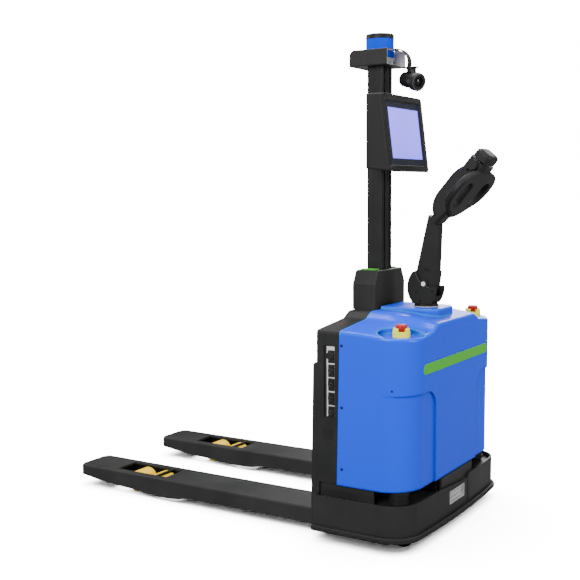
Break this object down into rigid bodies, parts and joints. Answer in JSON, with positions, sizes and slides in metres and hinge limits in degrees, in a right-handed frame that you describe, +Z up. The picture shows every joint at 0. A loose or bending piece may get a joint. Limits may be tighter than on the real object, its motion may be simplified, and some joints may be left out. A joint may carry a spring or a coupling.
{
  "type": "automated low-lift pallet truck",
  "caption": "Driverless low-lift pallet truck with lifting forks, hand tiller, sensor mast, screen and laser scanner.",
  "frame": {"origin": "on the floor, under the centre of the whole truck with its forks down and its tiller upright", "axes": "-X along the forks to their tips, +X to the tiller, +Y to the left of that, +Z up"},
  "size_m": [1.6208, 0.866, 1.738],
  "materials": {
    "black_paint": "fine textured satin black",
    "black_profile": "black anodised",
    "black_plastic": "moulded matt black",
    "black_rubber": "dull black",
    "drive_rubber": "cast polyurethane, dull",
    "blue_cover": "smooth satin blue",
    "blue_gloss": "smooth blue",
    "green_lens": "translucent green",
    "grey_plastic": "light grey",
    "white_plastic": "white",
    "yellow_plastic": "bright yellow",
    "red_plastic": "bright red",
    "yellow_wheel": "cast polyurethane, yellow",
    "screen_glass": "flat smooth front",
    "dark_steel": "black oxide",
    "bare_steel": "zinc plated",
    "chromed_steel": "ground and chromed",
    "cast_alloy": "as cast"
  },
  "bodies": {
    "chassis": {"base_frame": "black_paint", "bumper_strip": "black_rubber", "upright_frame": "black_paint", "rear_cover": "blue_cover", "cover_screws": "dark_steel", "light_strip": "green_lens", "battery_pack": "grey_plastic", "hydraulic_unit": "cast_alloy", "drive_controller": "cast_alloy", "panel_sockets": "black_plastic", "charge_contacts": "grey_plastic", "mast_base": "black_paint", "mast_foot_light": "green_lens", "mast_column": "black_profile", "screen_housing": "black_plastic", "screen_glass": "screen_glass", "lidar_bracket": "black_paint", "lidar_housing": "blue_gloss", "lidar_cap": "black_plastic", "camera_arm": "black_paint", "lift_cylinders": "black_paint", "slewing_ring": "bare_steel", "stop_collars": "yellow_plastic", "safety_scanners": "black_plastic"},
    "carriage": {"fork_carriage": "black_paint", "fork_left": "black_paint", "fork_right": "black_paint", "lift_rods": "chromed_steel", "load_arm_pins": "bare_steel"},
    "steering": {"drive_unit": "cast_alloy", "drive_motor": "black_paint", "tiller_turret": "black_plastic", "tiller_pin": "white_plastic"},
    "drive_wheel": {"drive_hub": "cast_alloy", "drive_tyre": "drive_rubber"},
    "tiller": {"tiller_arm": "black_plastic", "tiller_head": "black_plastic"},
    "throttle": {"throttle": "black_plastic"},
    "belly_button": {"belly_button": "black_plastic"},
    "horn_button": {"horn_button": "grey_plastic"},
    "lift_rocker": {"lift_rocker": "grey_plastic"},
    "camera": {"camera_body": "black_profile"},
    "rocker_right": {"rocker_right": "bare_steel"},
    "push_rod_right": {"push_rod_right": "black_paint"},
    "load_arm_right": {"load_arm_right": "black_paint"},
    "bogie_right": {"bogie_right": "bare_steel"},
    "front_wheel_right": {"front_wheel_right": "yellow_wheel"},
    "rear_wheel_right": {"rear_wheel_right": "yellow_wheel"},
    "caster_right": {"caster_fork_right": "bare_steel"},
    "caster_wheel_right": {"caster_wheel_right": "drive_rubber"},
    "stop_button_right": {"stop_button_right": "red_plastic"},
    "rocker_left": {"rocker_left": "bare_steel"},
    "push_rod_left": {"push_rod_left": "black_paint"},
    "load_arm_left": {"load_arm_left": "black_paint"},
    "bogie_left": {"bogie_left": "bare_steel"},
    "front_wheel_left": {"front_wheel_left": "yellow_wheel"},
    "rear_wheel_left": {"rear_wheel_left": "yellow_wheel"},
    "caster_left": {"caster_fork_left": "bare_steel"},
    "caster_wheel_left": {"caster_wheel_left": "drive_rubber"},
    "stop_button_left": {"stop_button_left": "red_plastic"}
  },
  "joints": [
    {"name": "lift", "type": "slide", "parent": "chassis", "child": "carriage", "axis": [0, 0, 1], "range_m": [0, 0.115]},
    {"name": "steer", "type": "hinge", "parent": "chassis", "child": "steering", "pos_m": [0.56165, 0, 0.3], "axis": [0, 0, 1], "range_deg": [-90, 90]},
    {"name": "drive_spin", "type": "hinge", "parent": "steering", "child": "drive_wheel", "pos_m": [0.56165, 0, 0.105], "axis": [0, 1, 0], "continuous": true},
    {"name": "tiller_tilt", "type": "hinge", "parent": "steering", "child": "tiller", "pos_m": [0.56765, 0, 0.856], "axis": [0, 1, 0], "range_deg": [0, 75], "stiffness_Nm_per_rad": 22, "springref_deg": -28.65},
    {"name": "throttle_turn", "type": "hinge", "parent": "tiller", "child": "throttle", "pos_m": [0.75237, 0, 1.26966], "axis": [0, 1, 0], "range_deg": [-25, 25], "stiffness_Nm_per_rad": 0.6},
    {"name": "belly_press", "type": "slide", "parent": "tiller", "child": "belly_button", "axis": [-0.6494, 0, -0.7604], "range_m": [0, 0.006], "stiffness_N_per_m": 800, "springref_m": -0.003},
    {"name": "horn_press", "type": "slide", "parent": "tiller", "child": "horn_button", "axis": [0.7604, 0, -0.6494], "range_m": [0, 0.003], "stiffness_N_per_m": 400, "springref_m": -0.001},
    {"name": "lift_rocker_turn", "type": "hinge", "parent": "tiller", "child": "lift_rocker", "pos_m": [0.65885, 0, 1.22329], "axis": [0, 1, 0], "range_deg": [-12, 12], "stiffness_Nm_per_rad": 0.3},
    {"name": "camera_tilt", "type": "hinge", "parent": "chassis", "child": "camera", "pos_m": [0.49865, 0, 1.602], "axis": [0.4226, 0.9063, 0], "range_deg": [-15, 15]},
    {"name": "rocker_turn_right", "type": "hinge", "parent": "carriage", "child": "rocker_right", "pos_m": [0.30165, -0.2575, 0.061], "axis": [0, 1, 0], "range_deg": [0, 56.3]},
    {"name": "rod_push_right", "type": "slide", "parent": "carriage", "child": "push_rod_right", "axis": [-1, 0, 0], "range_m": [0, 0.0179]},
    {"name": "arm_swing_right", "type": "hinge", "parent": "carriage", "child": "load_arm_right", "pos_m": [-0.33535, -0.2575, 0.042], "axis": [0, 1, 0], "range_deg": [-43.62, 0]},
    {"name": "bogie_level_right", "type": "hinge", "parent": "load_arm_right", "child": "bogie_right", "pos_m": [-0.50235, -0.2575, 0.04], "axis": [0, 1, 0], "range_deg": [0, 43.62]},
    {"name": "front_roll_right", "type": "hinge", "parent": "bogie_right", "child": "front_wheel_right", "pos_m": [-0.55035, -0.2575, 0.04], "axis": [0, 1, 0], "continuous": true},
    {"name": "rear_roll_right", "type": "hinge", "parent": "bogie_right", "child": "rear_wheel_right", "pos_m": [-0.45435, -0.2575, 0.04], "axis": [0, 1, 0], "continuous": true},
    {"name": "caster_swivel_right", "type": "hinge", "parent": "chassis", "child": "caster_right", "pos_m": [0.58965, -0.305, 0.12], "axis": [0, 0, 1], "continuous": true},
    {"name": "caster_roll_right", "type": "hinge", "parent": "caster_right", "child": "caster_wheel_right", "pos_m": [0.61965, -0.305, 0.05], "axis": [0, 1, 0], "continuous": true},
    {"name": "stop_press_right", "type": "slide", "parent": "chassis", "child": "stop_button_right", "axis": [0, 0, 1], "range_m": [-0.004, 0], "stiffness_N_per_m": 800, "springref_m": 0.002},
    {"name": "rocker_turn_left", "type": "hinge", "parent": "carriage", "child": "rocker_left", "pos_m": [0.30165, 0.2575, 0.061], "axis": [0, 1, 0], "range_deg": [0, 56.3]},
    {"name": "rod_push_left", "type": "slide", "parent": "carriage", "child": "push_rod_left", "axis": [-1, 0, 0], "range_m": [0, 0.0179]},
    {"name": "arm_swing_left", "type": "hinge", "parent": "carriage", "child": "load_arm_left", "pos_m": [-0.33535, 0.2575, 0.042], "axis": [0, 1, 0], "range_deg": [-43.62, 0]},
    {"name": "bogie_level_left", "type": "hinge", "parent": "load_arm_left", "child": "bogie_left", "pos_m": [-0.50235, 0.2575, 0.04], "axis": [0, 1, 0], "range_deg": [0, 43.62]},
    {"name": "front_roll_left", "type": "hinge", "parent": "bogie_left", "child": "front_wheel_left", "pos_m": [-0.55035, 0.2575, 0.04], "axis": [0, 1, 0], "continuous": true},
    {"name": "rear_roll_left", "type": "hinge", "parent": "bogie_left", "child": "rear_wheel_left", "pos_m": [-0.45435, 0.2575, 0.04], "axis": [0, 1, 0], "continuous": true},
    {"name": "caster_swivel_left", "type": "hinge", "parent": "chassis", "child": "caster_left", "pos_m": [0.58965, 0.305, 0.12], "axis": [0, 0, 1], "continuous": true},
    {"name": "caster_roll_left", "type": "hinge", "parent": "caster_left", "child": "caster_wheel_left", "pos_m": [0.61965, 0.305, 0.05], "axis": [0, 1, 0], "continuous": true},
    {"name": "stop_press_left", "type": "slide", "parent": "chassis", "child": "stop_button_left", "axis": [0, 0, 1], "range_m": [-0.004, 0], "stiffness_N_per_m": 800, "springref_m": 0.002}
  ],
  "couplings": [
    {"joint": "rocker_turn_right", "follows": "lift", "rad_per_m": 8.5293},
    {"joint": "rod_push_right", "follows": "lift", "ratio": 0.15474},
    {"joint": "arm_swing_right", "follows": "lift", "rad_per_m": -6.6051},
    {"joint": "bogie_level_right", "follows": "lift", "rad_per_m": 6.6051},
    {"joint": "rocker_turn_left", "follows": "lift", "rad_per_m": 8.5293},
    {"joint": "rod_push_left", "follows": "lift", "ratio": 0.15474},
    {"joint": "arm_swing_left", "follows": "lift", "rad_per_m": -6.6051},
    {"joint": "bogie_level_left", "follows": "lift", "rad_per_m": 6.6051}
  ]
}
